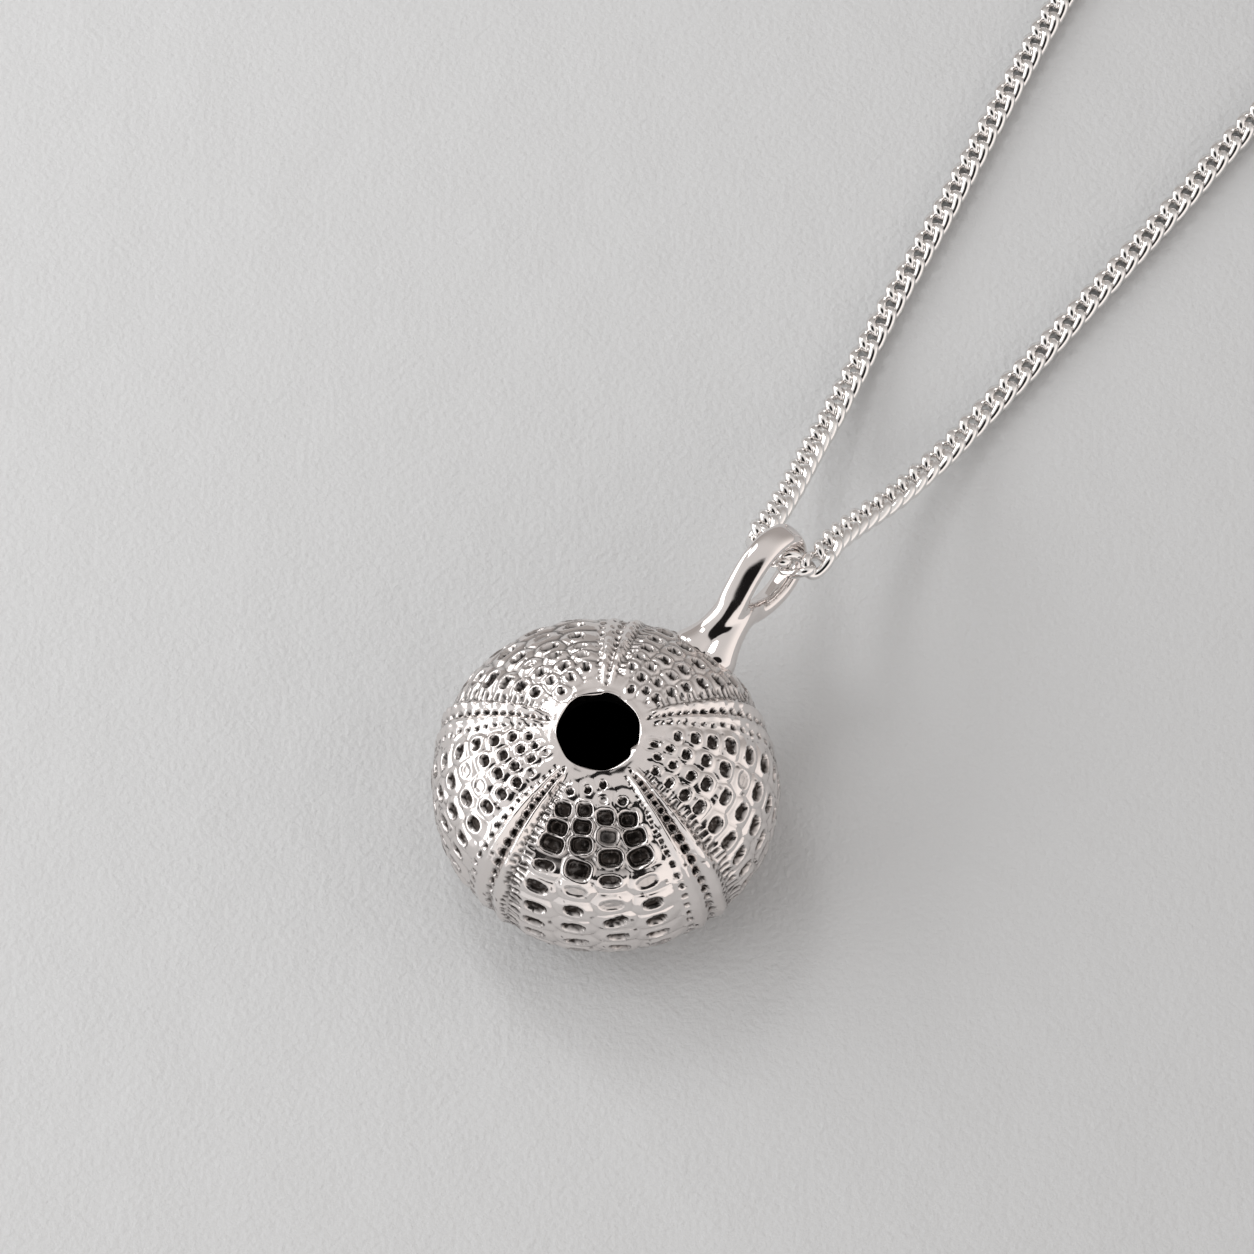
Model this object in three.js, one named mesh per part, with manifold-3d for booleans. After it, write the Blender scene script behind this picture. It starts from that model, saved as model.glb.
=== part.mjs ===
// A silver pendant cast in the shape of a sea urchin's shell, on a curb chain with a hook clasp.
// Millimetres, +Z up. The origin is the centre of the flat spot that the shell rests on.

import * as THREE from 'three';
import { mergeVertices } from 'three/addons/utils/BufferGeometryUtils.js';
import Module from 'manifold-3d';

// ---- Driving dimensions ----

// Urchin shell
const SHELL_RADIUS = 12; // at its widest ring
const WIDEST_HEIGHT = 5.6; // of the widest ring above the flat spot
const DOME_RISE = 8.9; // from the widest ring to where the dome would close
const DOME_FULLNESS = 2.5; // exponent of the dome's superellipse: 2 is an ellipse, more has fuller shoulders
const BELLY_DROP = 6; // from the widest ring to where the belly would close
const OPENING_RADIUS = 2.93; // the round opening on top
const CROWN_SHIFT = -0.49; // how far the opening stands to one side of the axis, along X
const SHELL_WALL = 1.1;
const SHELL_SIDES = 56;
const ARC_STEPS = 12; // points on each quarter of the shell's profile

// Bail, drawn in its own plane: U runs out from the shell's axis, W up from the loop's middle
const BAIL_AZIMUTH = 52; // degrees from +X
const BAIL_LEAN = 14; // degrees that the loop leans over to its left
const LOOP_HEIGHT = 10.3; // of the loop's middle above the flat spot
const LOOP_CENTRELINE = [
  [13.9, 0], [14.3, 0.85], [15.6, 1.65], [17.3, 2.3], [19.2, 2.4], [20.95, 1.55],
  [21.55, 0], [20.95, -1.55], [19.2, -2.4], [17.3, -2.3], [15.6, -1.65], [14.3, -0.85],
];
const STRAP_THICKNESS = 1.15;
const STRAP_WIDTH = 2.1;
const LOOP_STEPS = 48;
const FOOT_PROFILE = [[11.0, 2.5], [11.9, 1.75], [12.9, 1.3], [14.0, 1.2], [15.2, 1.05]]; // U, radius
const FOOT_DROP = 1.0; // how far the foot's middle stands under the loop's
const FOOT_SIDES = 20;
const JOINT_GAP = 0.3; // between the bail's foot and the shell

// Chain
const CHAIN_THICKNESS = 1.44; // of a round bar that fills the links' outline
const CHAIN_SIDES = 8;
const CHAIN_STEPS = 78;
const LYING = CHAIN_THICKNESS / 2; // height of the chain's middle where it lies

// The chain's open run, from the coil, through the bail and back to the coil
const CHAIN_ROUTE = [
  [46.2, 85.4, LYING], [42.3, 81.8, LYING], [38.3, 76.4, LYING], [34.7, 69.9, LYING],
  [29.9, 60.4, LYING], [25.3, 50.9, LYING], [22.2, 44.8, 0.75], [19.2, 38.7, 0.85],
  [17.7, 35.3, 1.25], [16.2, 31.8, 2.1], [14.7, 28.1, 3.7], [13.3, 24.1, 6.0],
  [11.9, 20.3, 8.5], [11.0, 18.3, 9.8], [10.8, 17.2, 10.1], [11.4, 16.3, 10.3],
  [12.5, 15.5, 10.5], [13.5, 14.95, 10.6], [14.6, 15.2, 10.5], [15.3, 16.3, 10.2],
  [15.9, 17.5, 9.5], [16.7, 18.9, 8.3], [18.4, 21.4, 6.1], [20.8, 24.3, 4.1],
  [23.1, 27.3, 2.5], [25.4, 30.2, 1.5], [27.5, 32.9, 1.0], [31.8, 38.0, 0.76],
  [36.0, 43.1, LYING], [42.4, 50.9, LYING], [48.9, 58.9, 0.75], [54.0, 63.9, 0.9],
  [59.0, 68.0, 1.5],
];

// Coil of the chain's spare length, wound in two layers
const COIL_CENTRE = [59.2, 81.4];
const COIL_INNER_RADIUS = 5.25;
const COIL_OUTER_RADIUS = 12.25;
const COIL_SIDES = 48;

// Clasp, lying in the middle of the coil
const CLASP_WIRE = 0.9;
const CLASP_SIDES = 10;
const HOOK_PLACE = [3.1, -1.6]; // of the hook's eye, from the coil's centre
const HOOK_EYE_RADIUS = 0.95;
const HOOK_LENGTH = 3.9; // from the eye's middle to the middle of the bend
const HOOK_BEND_RADIUS = 1.1;
const HOOK_TURN = 8; // degrees from +Y
const EYE_PLACE = [-0.9, 2.3];
const EYE_RADIUS = 1.45;

// ---- Materials ----

const silver = new THREE.MeshStandardMaterial({ color: 0xded6d2, roughness: 0.12, metalness: 1 });
const darkenedSilver = new THREE.MeshStandardMaterial({ color: 0xcfc6c1, roughness: 0.2, metalness: 1 });

// ---- Helpers ----

const wasm = await Module();
wasm.setup();

// Joins a geometry's vertices that share a place, and leaves out the triangles that close to a line
function weld(geometry) {
  geometry.deleteAttribute('normal');
  geometry.deleteAttribute('uv');
  const welded = mergeVertices(geometry, 1e-4);
  const corners = welded.index.array;
  const triangles = [];
  for (let i = 0; i < corners.length; i += 3) {
    const [a, b, c] = corners.slice(i, i + 3);
    if (a !== b && b !== c && c !== a) triangles.push(a, b, c);
  }
  return welded.setIndex(triangles);
}

function toSolid(geometry) {
  const mesh = new wasm.Mesh({
    numProp: 3,
    vertProperties: new Float32Array(geometry.attributes.position.array),
    triVerts: new Uint32Array(geometry.index.array),
  });
  return new wasm.Manifold(mesh);
}

function toGeometry(solid) {
  const mesh = solid.getMesh();
  const geometry = new THREE.BufferGeometry();
  geometry.setAttribute('position', new THREE.BufferAttribute(new Float32Array(mesh.vertProperties), 3));
  geometry.setIndex(new THREE.BufferAttribute(new Uint32Array(mesh.triVerts), 1));
  return geometry;
}

function named(name, geometry, material) {
  const mesh = new THREE.Mesh(geometry, material);
  mesh.name = name;
  return mesh;
}

// A solid of revolution about +Z from [radius, height] points
function lathe(points, sides) {
  const profile = points.map(([radius, height]) => new THREE.Vector2(radius, height));
  return weld(new THREE.LatheGeometry(profile, sides)).rotateX(Math.PI / 2);
}

// A round bar of a given radius along a curve
function bar(curve, radius, sides, steps) {
  const section = new THREE.Shape();
  for (let side = 0; side < sides; side += 1) {
    const angle = (2 * Math.PI * side) / sides;
    const point = [radius * Math.cos(angle), radius * Math.sin(angle)];
    if (side === 0) section.moveTo(...point);
    else section.lineTo(...point);
  }
  section.closePath();
  return weld(new THREE.ExtrudeGeometry(section, { extrudePath: curve, steps, curveSegments: 1 }));
}

// A closed round ring lying flat
function ring(radius, wire) {
  return weld(new THREE.TorusGeometry(radius, wire / 2, CLASP_SIDES, 24));
}

// ---- Urchin shell ----

// A quarter of a superellipse from [width, 0] towards [0, rise], cut off where it reaches a radius
function quarter(width, rise, endRadius, offset, fullness = 2) {
  const endAngle = Math.acos((endRadius / width) ** (fullness / 2));
  return Array.from({ length: ARC_STEPS + 1 }, (_, step) => {
    const angle = (endAngle * step) / ARC_STEPS;
    return [
      width * Math.cos(angle) ** (2 / fullness),
      offset + rise * Math.sin(angle) ** (2 / fullness),
    ];
  });
}

const baseRadius = SHELL_RADIUS * Math.sqrt(1 - (WIDEST_HEIGHT / BELLY_DROP) ** 2);

function shellProfile() {
  const innerRadius = SHELL_RADIUS - SHELL_WALL;
  const innerBase = innerRadius * Math.sqrt(1 - ((WIDEST_HEIGHT - SHELL_WALL) / (BELLY_DROP - SHELL_WALL)) ** 2);
  const belly = quarter(SHELL_RADIUS, -BELLY_DROP, baseRadius, WIDEST_HEIGHT).reverse();
  const dome = quarter(SHELL_RADIUS, DOME_RISE, OPENING_RADIUS, WIDEST_HEIGHT, DOME_FULLNESS);
  const innerDome = quarter(
    innerRadius, DOME_RISE - SHELL_WALL, OPENING_RADIUS, WIDEST_HEIGHT, DOME_FULLNESS,
  ).reverse();
  const innerBelly = quarter(innerRadius, SHELL_WALL - BELLY_DROP, innerBase, WIDEST_HEIGHT);
  return [
    [0, 0], ...belly, ...dome.slice(1), ...innerDome, ...innerBelly.slice(1), [0, SHELL_WALL],
  ];
}

// Moves each point above the widest ring sideways, in step with its height
function shiftCrown(geometry) {
  const position = geometry.attributes.position;
  for (let i = 0; i < position.count; i += 1) {
    const rise = Math.max(0, position.getZ(i) - WIDEST_HEIGHT) / DOME_RISE;
    position.setX(i, position.getX(i) + CROWN_SHIFT * rise);
  }
  return geometry;
}

function urchinShell() {
  const geometry = shiftCrown(lathe(shellProfile(), SHELL_SIDES));
  return named('urchin_shell', geometry, darkenedSilver);
}

// ---- Bail ----

// The loop's outline at a distance from its centreline
function loopOutline(offset) {
  const curve = new THREE.CatmullRomCurve3(
    LOOP_CENTRELINE.map(([u, w]) => new THREE.Vector3(u, w, 0)), true, 'centripetal',
  );
  return Array.from({ length: LOOP_STEPS }, (_, step) => {
    const point = curve.getPointAt(step / LOOP_STEPS);
    const tangent = curve.getTangentAt(step / LOOP_STEPS);
    return new THREE.Vector2(point.x - tangent.y * offset, point.y + tangent.x * offset);
  });
}

function bailLoop() {
  const outline = new THREE.Shape(loopOutline(STRAP_THICKNESS / 2));
  outline.holes.push(new THREE.Path(loopOutline(-STRAP_THICKNESS / 2).reverse()));
  const geometry = new THREE.ExtrudeGeometry(outline, { depth: STRAP_WIDTH, bevelEnabled: false });
  return weld(geometry).translate(0, 0, -STRAP_WIDTH / 2);
}

// The flared neck between the loop and the shell, whose middle drops towards the shell
function bailFoot() {
  const [start] = FOOT_PROFILE[0];
  const [end] = FOOT_PROFILE[FOOT_PROFILE.length - 1];
  const profile = [[0, start], ...FOOT_PROFILE.map(([u, radius]) => [radius, u]), [0, end]];
  const geometry = weld(new THREE.LatheGeometry(
    profile.map(([radius, u]) => new THREE.Vector2(radius, u)), FOOT_SIDES,
  )).rotateZ(-Math.PI / 2);
  const position = geometry.attributes.position;
  for (let i = 0; i < position.count; i += 1) {
    const share = (end - position.getX(i)) / (end - start);
    position.setY(i, position.getY(i) - FOOT_DROP * share);
  }
  return geometry;
}

// Puts a geometry drawn in the bail's plane in its place on the shell
function placeBail(geometry) {
  return geometry
    .rotateX(Math.PI / 2)
    .rotateX(THREE.MathUtils.degToRad(-BAIL_LEAN))
    .translate(0, 0, LOOP_HEIGHT)
    .rotateZ(THREE.MathUtils.degToRad(BAIL_AZIMUTH));
}

function bail() {
  const loop = toSolid(placeBail(bailLoop()));
  const foot = toSolid(placeBail(bailFoot()));
  const grown = [
    [0, 0],
    ...quarter(SHELL_RADIUS + JOINT_GAP, -BELLY_DROP, baseRadius, WIDEST_HEIGHT).reverse(),
    ...quarter(
      SHELL_RADIUS + JOINT_GAP, DOME_RISE + JOINT_GAP, OPENING_RADIUS, WIDEST_HEIGHT, DOME_FULLNESS,
    ).slice(1),
    [0, WIDEST_HEIGHT + DOME_RISE + JOINT_GAP],
  ];
  const clearance = toSolid(shiftCrown(lathe(grown, SHELL_SIDES)));
  return named('bail', toGeometry(loop.add(foot).subtract(clearance)), silver);
}

// ---- Chain ----

function chainRun() {
  const curve = new THREE.CatmullRomCurve3(
    CHAIN_ROUTE.map((point) => new THREE.Vector3(...point)), false, 'centripetal',
  );
  const geometry = bar(curve, CHAIN_THICKNESS / 2, CHAIN_SIDES, CHAIN_STEPS);
  return named('chain_run', geometry, silver);
}

function chainCoil() {
  const height = 2 * CHAIN_THICKNESS;
  const profile = [
    [COIL_INNER_RADIUS, 0], [COIL_OUTER_RADIUS, 0], [COIL_OUTER_RADIUS, height],
    [COIL_INNER_RADIUS, height], [COIL_INNER_RADIUS, 0],
  ];
  const coil = named('chain_coil', lathe(profile, COIL_SIDES), silver);
  coil.position.set(...COIL_CENTRE, 0);
  return coil;
}

// ---- Clasp ----

// A hook of one wire, drawn along +Y from its eye, with its open end turned back beside its shank
function claspHook() {
  const side = -2 * HOOK_BEND_RADIUS;
  const bend = [];
  for (let step = 0; step <= 8; step += 1) {
    const angle = (Math.PI * step) / 8;
    bend.push(new THREE.Vector3(
      HOOK_BEND_RADIUS * (Math.cos(angle) - 1), HOOK_LENGTH + HOOK_BEND_RADIUS * Math.sin(angle), 0,
    ));
  }
  const wire = new THREE.CatmullRomCurve3([
    new THREE.Vector3(0, HOOK_EYE_RADIUS * 0.7, 0),
    new THREE.Vector3(0, HOOK_LENGTH * 0.6, 0),
    ...bend,
    new THREE.Vector3(side, HOOK_LENGTH * 0.62, 0),
    new THREE.Vector3(side - 0.35, HOOK_LENGTH * 0.42, 0),
  ], false, 'centripetal');
  const shank = toSolid(bar(wire, CLASP_WIRE / 2, CLASP_SIDES, 30));
  const eye = toSolid(ring(HOOK_EYE_RADIUS, CLASP_WIRE * 0.8));
  const hook = named('clasp_hook', toGeometry(shank.add(eye)), silver);
  hook.rotation.z = THREE.MathUtils.degToRad(-HOOK_TURN);
  hook.position.set(COIL_CENTRE[0] + HOOK_PLACE[0], COIL_CENTRE[1] + HOOK_PLACE[1], CLASP_WIRE / 2);
  return hook;
}

function claspEye() {
  const eye = named('clasp_eye', ring(EYE_RADIUS, CLASP_WIRE), silver);
  eye.position.set(COIL_CENTRE[0] + EYE_PLACE[0], COIL_CENTRE[1] + EYE_PLACE[1], CLASP_WIRE / 2);
  return eye;
}

// ---- The necklace ----

const pendant = new THREE.Group();
pendant.add(urchinShell(), bail());

const chain = new THREE.Group();
chain.add(chainRun(), chainCoil(), claspHook(), claspEye());

const necklace = new THREE.Group();
necklace.add(pendant, chain);

export default necklace;
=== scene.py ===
"""A silver pendant cast in the shape of a sea urchin's shell, lying with its curb chain on pale paper.

Lengths are in millimetres, and angles in degrees, up to the functions that make meshes and lights.
"""

import math

import bpy
import numpy as np
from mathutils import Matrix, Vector, noise


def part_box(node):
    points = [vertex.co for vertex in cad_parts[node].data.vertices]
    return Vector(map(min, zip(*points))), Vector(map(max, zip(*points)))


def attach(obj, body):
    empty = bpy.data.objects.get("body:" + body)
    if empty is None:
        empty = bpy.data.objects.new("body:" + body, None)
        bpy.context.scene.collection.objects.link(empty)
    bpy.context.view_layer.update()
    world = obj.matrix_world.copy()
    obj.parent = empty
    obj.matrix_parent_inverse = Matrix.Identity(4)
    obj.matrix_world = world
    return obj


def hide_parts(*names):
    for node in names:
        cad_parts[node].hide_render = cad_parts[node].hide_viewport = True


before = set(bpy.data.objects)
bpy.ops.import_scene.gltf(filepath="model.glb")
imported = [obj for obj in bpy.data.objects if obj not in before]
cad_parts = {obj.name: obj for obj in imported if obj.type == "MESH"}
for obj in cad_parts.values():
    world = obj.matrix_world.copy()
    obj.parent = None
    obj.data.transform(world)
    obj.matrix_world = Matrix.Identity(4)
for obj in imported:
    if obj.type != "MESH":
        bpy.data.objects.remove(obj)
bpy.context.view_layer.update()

MM = 0.001
rng = np.random.default_rng(7)


# ---- Helpers ----

def turned(angle, radius=1.0):
    """The point at an angle from +X, as x and y."""
    return radius * math.cos(math.radians(angle)), radius * math.sin(math.radians(angle))


def smoothstep(low, high, value):
    """0 up to low, 1 from high on, and a smooth rise between them."""
    share = np.clip((value - low) / (high - low), 0, 1)
    return share * share * (3 - 2 * share)


def bell(value, width):
    """1 where value is 0, and falling off smoothly over a width to either side."""
    return np.exp(-((value / width) ** 2))


def turn_from(middle, azimuth):
    """How far an azimuth is turned from a middle one, from -180 to 180."""
    return (azimuth - middle + 180) % 360 - 180


def unit(vectors):
    """The vectors along the last axis, each at length 1."""
    return vectors / np.linalg.norm(vectors, axis=-1, keepdims=True)


def placed(name, data):
    """A new object that shows some data, in the scene."""
    item = bpy.data.objects.new(name, data)
    bpy.context.collection.objects.link(item)
    return item


def mesh_piece(name, vertices, faces, material, slot="silver"):
    """A smooth-shaded piece from vertices in millimetres, which rides on the body."""
    mesh = bpy.data.meshes.new(name)
    mesh.from_pydata((np.asarray(vertices) * MM).tolist(), [], faces)
    mesh.shade_smooth()
    mesh.materials.append(material)
    piece = placed(name, mesh)
    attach(piece, "root")
    return piece


def grid_faces(rows, columns, closed_rows=False, first=0):
    """Quads between rows of points, each row a closed ring. The last row may be joined to the first."""
    faces = []
    for row in range(rows if closed_rows else rows - 1):
        start = first + row * columns
        after = first + ((row + 1) % rows) * columns
        for column in range(columns):
            beside = (column + 1) % columns
            faces.append((start + column, start + beside, after + beside, after + column))
    return faces


def catmull(points, steps, closed=False):
    """A centripetal Catmull-Rom curve through points, with that many steps between each two."""
    points = np.asarray(points, float)
    if closed:
        knots = np.concatenate([points[-1:], points, points[:2]])
    else:
        knots = np.concatenate([2 * points[:1] - points[1:2], points, 2 * points[-1:] - points[-2:-1]])
    curve = []
    for p0, p1, p2, p3 in zip(knots, knots[1:], knots[2:], knots[3:]):
        d0, d1, d2 = (math.sqrt(np.linalg.norm(b - a)) for a, b in ((p0, p1), (p1, p2), (p2, p3)))
        leave = ((p1 - p0) / d0 - (p2 - p0) / (d0 + d1) + (p2 - p1) / d1) * d1
        arrive = ((p2 - p1) / d1 - (p3 - p1) / (d1 + d2) + (p3 - p2) / d2) * d1
        for share in np.arange(steps) / steps:
            curve.append(
                p1 * (2 * share**3 - 3 * share**2 + 1) + leave * (share**3 - 2 * share**2 + share)
                + p2 * (3 * share**2 - 2 * share**3) + arrive * (share**3 - share**2)
            )
    return np.array(curve if closed else curve + [points[-1]])


def along(curve):
    """The distance along a curve to each of its points."""
    return np.concatenate([[0], np.cumsum(np.linalg.norm(np.diff(curve, axis=0), axis=1))])


def resampled(curve, distances):
    """The points of a curve at some distances along it."""
    lengths = along(curve)
    return np.stack([np.interp(distances, lengths, curve[:, axis]) for axis in range(3)], axis=1)


# ---- Camera ----

CAMERA_TARGET = (1.448, 12.797, 5.6)
CAMERA_ELEVATION = 62
CAMERA_DISTANCE = 360.6
CAMERA_VIEW = 14  # degrees from side to side
CAMERA_NEAREST = 10  # nothing nearer than this is drawn


def make_camera():
    data = bpy.data.cameras.new("camera")
    data.angle = math.radians(CAMERA_VIEW)
    data.clip_start = CAMERA_NEAREST * MM
    camera = placed("camera", data)
    back, up = turned(CAMERA_ELEVATION, CAMERA_DISTANCE)
    camera.location = (Vector(CAMERA_TARGET) + Vector((0, -back, up))) * MM
    camera.rotation_euler = (math.radians(90 - CAMERA_ELEVATION), 0, 0)
    bpy.context.scene.camera = camera


make_camera()


# ---- Materials ----

class Nodes:
    """A short way to write a node tree."""

    def __init__(self, tree):
        self.tree = tree
        tree.nodes.clear()

    def add(self, kind, inputs=None, **settings):
        node = self.tree.nodes.new(kind)
        for name, value in settings.items():
            setattr(node, name, value)
        for name, value in (inputs or {}).items():
            if isinstance(value, bpy.types.NodeSocket):
                self.tree.links.new(value, node.inputs[name])
            else:
                node.inputs[name].default_value = value
        return node

    def maths(self, operation, *values, clamp=False):
        inputs = dict(enumerate(values))
        return self.add("ShaderNodeMath", inputs, operation=operation, use_clamp=clamp).outputs[0]

    def between(self, value, low, high, to_low=0.0, to_high=1.0):
        """value's place between low and high, smoothed, on a scale from to_low to to_high."""
        inputs = {"Value": value, 1: low, 2: high, 3: to_low, 4: to_high}
        return self.add("ShaderNodeMapRange", inputs, interpolation_type="SMOOTHSTEP").outputs[0]

    def wander(self, noise, low, high):
        """A value that goes from low to high with a noise, which mostly stays from 0.3 to 0.7."""
        return self.between(noise, 0.3, 0.7, low, high)

    def mix(self, factor, first, second):
        inputs = {0: factor, 6: first, 7: second}
        return self.add("ShaderNodeMix", inputs, data_type="RGBA").outputs[2]

    def grain(self, size, detail=2.0):
        """Noise with bumps of about that size, in millimetres."""
        place = self.add("ShaderNodeTexCoord").outputs["Object"]
        inputs = {"Vector": place, "Scale": 1 / (size * MM), "Detail": detail}
        return self.add("ShaderNodeTexNoise", inputs).outputs[0]

    def bump(self, height, distance):
        """A bump of a height in millimetres."""
        inputs = {"Height": height, "Distance": distance * MM}
        return self.add("ShaderNodeBump", inputs).outputs[0]


SILVER = (0.80, 0.755, 0.735, 1)
# Painted light: the chain's silver is a lighter copy of the same metal, which makes the chain brighter
LIGHTER_PAINTED_SILVER = (0.87, 0.85, 0.835, 1)
# The dark of tarnish in the shell's recesses, also used for its painted shade
TARNISH_AND_SHADE = (0.035, 0.029, 0.026, 1)
# Near black, for the inner wall: blackening and painted shade of the hollow
SHADE_AND_OXIDE_BLACK = (0.006, 0.006, 0.006, 1)
PAPER = (0.642, 0.650, 0.655, 1)


def new_material(name):
    """A material and its empty node tree."""
    material = bpy.data.materials.new(name)
    material.use_nodes = True
    return material, Nodes(material.node_tree)


def finish_material(nodes, **inputs):
    """Ends a material in a shader. An input's name is its socket's, with _ for each space."""
    sockets = {name.replace("_", " "): value for name, value in inputs.items()}
    shader = nodes.add("ShaderNodeBsdfPrincipled", sockets)
    output = nodes.add("ShaderNodeOutputMaterial")
    nodes.tree.links.new(shader.outputs[0], output.inputs[0])


def polished_silver(name, colour):
    """Smooth bright silver, with the faint unevenness that hand polishing leaves."""
    material, nodes = new_material(name)
    smears = nodes.grain(1.6)
    finish_material(
        nodes, Base_Color=colour, Metallic=1.0, Roughness=nodes.wander(smears, 0.05, 0.11),
        Normal=nodes.bump(nodes.grain(2.2, 1.0), 0.006),
    )
    return material


def cast_silver():
    """The shell's silver, bright on what stands proud and tarnished in its recesses, with painted shade
    on its far side and down inside its opening.
    """
    material, nodes = new_material("cast_silver")
    # This attribute holds tarnish in the recesses, and painted shade on the far side and inside the
    # opening
    tarnish_and_shade = nodes.add("ShaderNodeAttribute", attribute_name="tarnish_and_shade").outputs["Fac"]
    mottle = nodes.grain(0.35, 3.0)
    depth = nodes.maths("MULTIPLY", tarnish_and_shade, nodes.wander(mottle, 0.88, 1.15), clamp=True)
    finish_material(
        nodes, Base_Color=nodes.mix(depth, SILVER, TARNISH_AND_SHADE), Metallic=1.0,
        Roughness=nodes.between(depth, 0.0, 1.0, 0.13, 0.32),
        Normal=nodes.bump(nodes.grain(0.6, 2.0), 0.008),
    )
    return material


def shade_and_oxide_silver():
    """The inner wall's silver, blackened, and matt and almost black as painted shade of the hollow."""
    material, nodes = new_material("shade_and_oxide_silver")
    roughness = nodes.wander(nodes.grain(0.4), 0.75, 0.95)
    finish_material(nodes, Base_Color=SHADE_AND_OXIDE_BLACK, Roughness=roughness, Specular_IOR_Level=0.0)
    return material


def paper():
    """Matt paper with fine fibres and a faint waviness."""
    material, nodes = new_material("paper")
    fibres = nodes.grain(0.5, 4.0)
    waves = nodes.grain(6.0, 1.0)
    height = nodes.maths("ADD", fibres, nodes.maths("MULTIPLY", waves, 2.0))
    finish_material(
        nodes, Base_Color=PAPER, Roughness=0.95, Specular_IOR_Level=0.1,
        Normal=nodes.bump(height, 0.11),
    )
    return material


# ---- Chain ----

LINK_PITCH = 1.64
LINK_HALF_LENGTH = 1.12  # of a link's centreline, as the next two are
LINK_HALF_WIDTH = 0.66
LINK_TWIST = -0.36  # how far its corners turn up and down
LINK_WIRE = 0.74
LINK_STEPS = 30
LINK_SIDES = 8
LINK_ROLL = 3  # standard deviation of a link's roll from lying flat
LYING = 0.72  # height of the chain's middle where it lies
SECOND_LAYER = 3 * LYING  # height of its middle in the coil's upper turns

# The chain's open run, which the frame's chain_run follows
CHAIN_ROUTE = [
    (46.2, 85.4, LYING), (42.3, 81.8, LYING), (38.3, 76.4, LYING), (34.7, 69.9, LYING),
    (29.9, 60.4, LYING), (25.3, 50.9, LYING), (22.2, 44.8, 0.75), (19.2, 38.7, 0.85),
    (17.7, 35.3, 1.25), (16.2, 31.8, 2.1), (14.7, 28.1, 3.7), (13.3, 24.1, 6.0),
    (11.9, 20.3, 8.5), (11.0, 18.3, 9.8), (10.8, 17.2, 10.1), (11.4, 16.3, 10.3),
    (12.5, 15.5, 10.5), (13.5, 14.95, 10.6), (14.6, 15.2, 10.5), (15.3, 16.3, 10.2),
    (15.9, 17.5, 9.5), (16.7, 18.9, 8.3), (18.4, 21.4, 6.1), (20.8, 24.3, 4.1),
    (23.1, 27.3, 2.5), (25.4, 30.2, 1.5), (27.5, 32.9, 1.0), (31.8, 38.0, 0.76),
    (36.0, 43.1, LYING), (42.4, 50.9, LYING), (48.9, 58.9, 0.75), (54.0, 63.9, 0.9),
    (59.0, 68.0, 1.5),
]

coil_low, coil_high = (np.array(corner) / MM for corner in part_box("chain_coil"))
COIL_CENTRE = (coil_low + coil_high)[:2] / 2
COIL_FIRST_RADIUS = 6.3
COIL_LAST_RADIUS = 11.25
COIL_TURNS = 2.5  # in each of its two layers
COIL_POINTS_PER_TURN = 24
LOWER_START = 315  # the angle where the lower turns start, on the inside
UPPER_START = -52  # the angle where the upper turns start, on the outside
CHAIN_STEPS = 12  # of the path between each two of its points

# The chain's ends within the coil, from the coil's centre
EYE_TAIL = [
    (-2.7, 1.6, 0.55), (-3.4, 0.3, 0.7), (-3.5, -1.3, LYING), (-2.6, -3.2, LYING),
    (-0.4, -4.6, LYING), (2.0, -5.2, LYING),
]
HOOK_TAIL = [
    (-5.3, 2.0, 1.9), (-5.6, -0.6, 1.4), (-4.3, -3.2, 1.3), (-1.6, -3.6, 1.3), (0.6, -2.6, 0.9),
    (1.9, -2.0, 0.55),
]


def from_coil_centre(points):
    """Points given from the coil's centre, in the pendant's frame."""
    return [(COIL_CENTRE[0] + x, COIL_CENTRE[1] + y, z) for x, y, z in points]


def coil_turns(start_angle, start_radius, end_radius, height):
    """One layer of the coil: a flat spiral about its centre, anticlockwise."""
    points = []
    for share in np.linspace(0, 1, round(COIL_TURNS * COIL_POINTS_PER_TURN) + 1):
        radius = start_radius + (end_radius - start_radius) * share
        points.append((*turned(start_angle + 360 * COIL_TURNS * share, radius), height))
    return from_coil_centre(points)


def chain_path():
    """The chain's middle line, from the clasp's ring to the clasp's hook.

    It leaves the coil by the lower turns, goes through the bail, and comes back in by the upper turns.
    """
    lower = coil_turns(LOWER_START, COIL_FIRST_RADIUS, COIL_LAST_RADIUS, LYING)
    upper = coil_turns(UPPER_START, COIL_LAST_RADIUS, COIL_FIRST_RADIUS, SECOND_LAYER)
    points = from_coil_centre(EYE_TAIL) + lower + CHAIN_ROUTE + upper + from_coil_centre(HOOK_TAIL)
    return catmull(points, CHAIN_STEPS)


def link_surface():
    """The vertices of one link about its own middle, with X along the chain and Z up."""
    turn = np.linspace(0, 2 * np.pi, LINK_STEPS, endpoint=False)
    cosine, sine = np.cos(turn), np.sin(turn)
    middle = np.stack([
        LINK_HALF_LENGTH * cosine, LINK_HALF_WIDTH * sine, LINK_TWIST * np.sin(2 * turn),
    ], axis=1)
    direction = unit(np.stack([
        -LINK_HALF_LENGTH * sine, LINK_HALF_WIDTH * cosine, 2 * LINK_TWIST * np.cos(2 * turn),
    ], axis=1))
    outward = np.stack([cosine, sine, np.zeros_like(turn)], axis=1)
    outward = unit(outward - (outward * direction).sum(axis=1, keepdims=True) * direction)
    beside = np.cross(direction, outward)
    side = np.linspace(0, 2 * np.pi, LINK_SIDES, endpoint=False)[None, :, None]
    wire = np.cos(side) * outward[:, None] + np.sin(side) * beside[:, None]
    return (middle[:, None] + LINK_WIRE / 2 * wire).reshape(-1, 3)


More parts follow.
